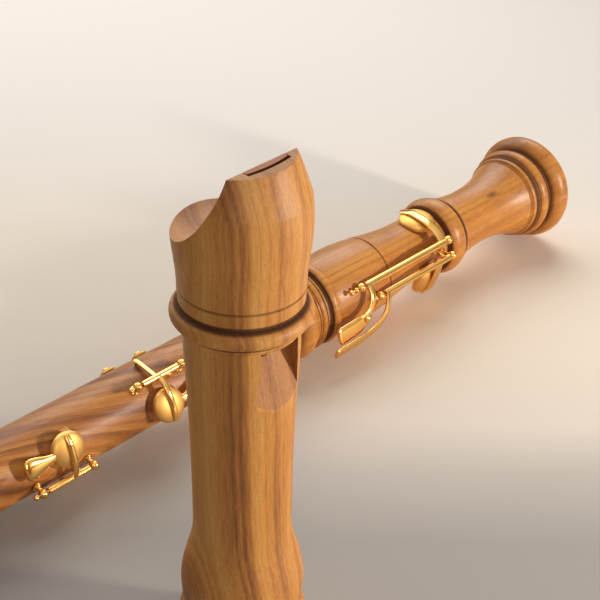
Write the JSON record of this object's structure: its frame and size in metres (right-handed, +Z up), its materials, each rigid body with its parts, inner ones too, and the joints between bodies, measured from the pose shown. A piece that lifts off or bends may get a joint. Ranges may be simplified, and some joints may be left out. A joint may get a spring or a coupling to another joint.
{
  "type": "tenor recorder",
  "caption": "Wooden tenor recorder with gilt key work, shown in two parts: beaked head joint standing on its socket end, body and flared foot joint lying beside it.",
  "frame": {"origin": "bottom centre of the box round both parts, on the surface that they stand and lie on", "axes": "+X from the body's upper tenon towards the foot's bell, +Z up, the head joint stands on the -Y side with its window facing -Y"},
  "size_m": [0.4818, 0.1754, 0.1933],
  "materials": {
    "oiled_wood": "warm light brown pearwood, oiled and polished to a satin sheen",
    "cedar": "pinkish red cedar, plain cut",
    "gilt_brass": "gold plated, polished on tubes and balls, satin on cups and touches",
    "spring_steel": "blued needle spring",
    "cork": "natural cork, sanded",
    "pad_leather": "thin tan pad leather"
  },
  "bodies": {
    "middle": {"middle_joint": "oiled_wood", "upper_tenon_cork": "cork", "lower_tenon_cork": "cork", "thumb_rest": "gilt_brass", "thumb_rest_screw_1": "gilt_brass", "thumb_rest_screw_2": "gilt_brass", "hole_3_hinge_rod": "gilt_brass", "hole_3_post_bell": "gilt_brass", "hole_3_post_head": "gilt_brass", "hole_3_spring": "spring_steel", "hole_4_hinge_rod": "gilt_brass", "hole_4_post_bell": "gilt_brass", "hole_4_post_head": "gilt_brass", "hole_4_spring": "spring_steel"},
    "foot": {"foot_joint": "oiled_wood", "low_c_sharp_hinge_rod": "gilt_brass", "low_c_sharp_post_bell": "gilt_brass", "low_c_sharp_post_head": "gilt_brass", "low_c_sharp_spring": "spring_steel", "low_c_hinge_rod": "gilt_brass", "low_c_post_bell": "gilt_brass", "low_c_post_head": "gilt_brass", "low_c_spring": "spring_steel"},
    "head": {"head_joint": "oiled_wood", "windway_block": "cedar"},
    "hole_3_lever": {"hole_3_key": "gilt_brass", "hole_3_pad": "pad_leather", "hole_3_stop_cork": "cork"},
    "hole_4_lever": {"hole_4_key": "gilt_brass", "hole_4_pad": "pad_leather", "hole_4_stop_cork": "cork"},
    "low_c_sharp_lever": {"low_c_sharp_key": "gilt_brass", "low_c_sharp_pad": "pad_leather"},
    "low_c_lever": {"low_c_key": "gilt_brass", "low_c_pad": "pad_leather", "low_c_stop_cork": "cork"}
  },
  "joints": [
    {"name": "head_lift", "type": "slide", "parent": "middle", "child": "head", "axis": [0, 0, 1], "range_m": [0, 0.04]},
    {"name": "foot_turn", "type": "hinge", "parent": "middle", "child": "foot", "pos_m": [0.06031, 0.05822, 0.02398], "axis": [0.9995, 0, 0.0319], "range_deg": [-8, 8]},
    {"name": "hole_3_press", "type": "hinge", "parent": "middle", "child": "hole_3_lever", "pos_m": [-0.10094, 0.03909, 0.01371], "axis": [-0.9995, 0, -0.0319], "range_deg": [0, 13], "stiffness_Nm_per_rad": 0.02, "springref_deg": -17.19},
    {"name": "hole_4_press", "type": "hinge", "parent": "middle", "child": "hole_4_lever", "pos_m": [-0.04712, 0.04576, 0.03595], "axis": [0.9995, 0, 0.0319], "range_deg": [0, 13], "stiffness_Nm_per_rad": 0.02, "springref_deg": -17.19},
    {"name": "low_c_sharp_press", "type": "hinge", "parent": "foot", "child": "low_c_sharp_lever", "pos_m": [0.10444, 0.03732, 0.03636], "axis": [0.9995, 0, 0.0319], "range_deg": [0, 12], "stiffness_Nm_per_rad": 0.03, "springref_deg": -17.19},
    {"name": "low_c_press", "type": "hinge", "parent": "foot", "child": "low_c_lever", "pos_m": [0.111, 0.03475, 0.02806], "axis": [0.9995, 0, 0.0319], "range_deg": [0, 10], "stiffness_Nm_per_rad": 0.03, "springref_deg": -17.19}
  ]
}
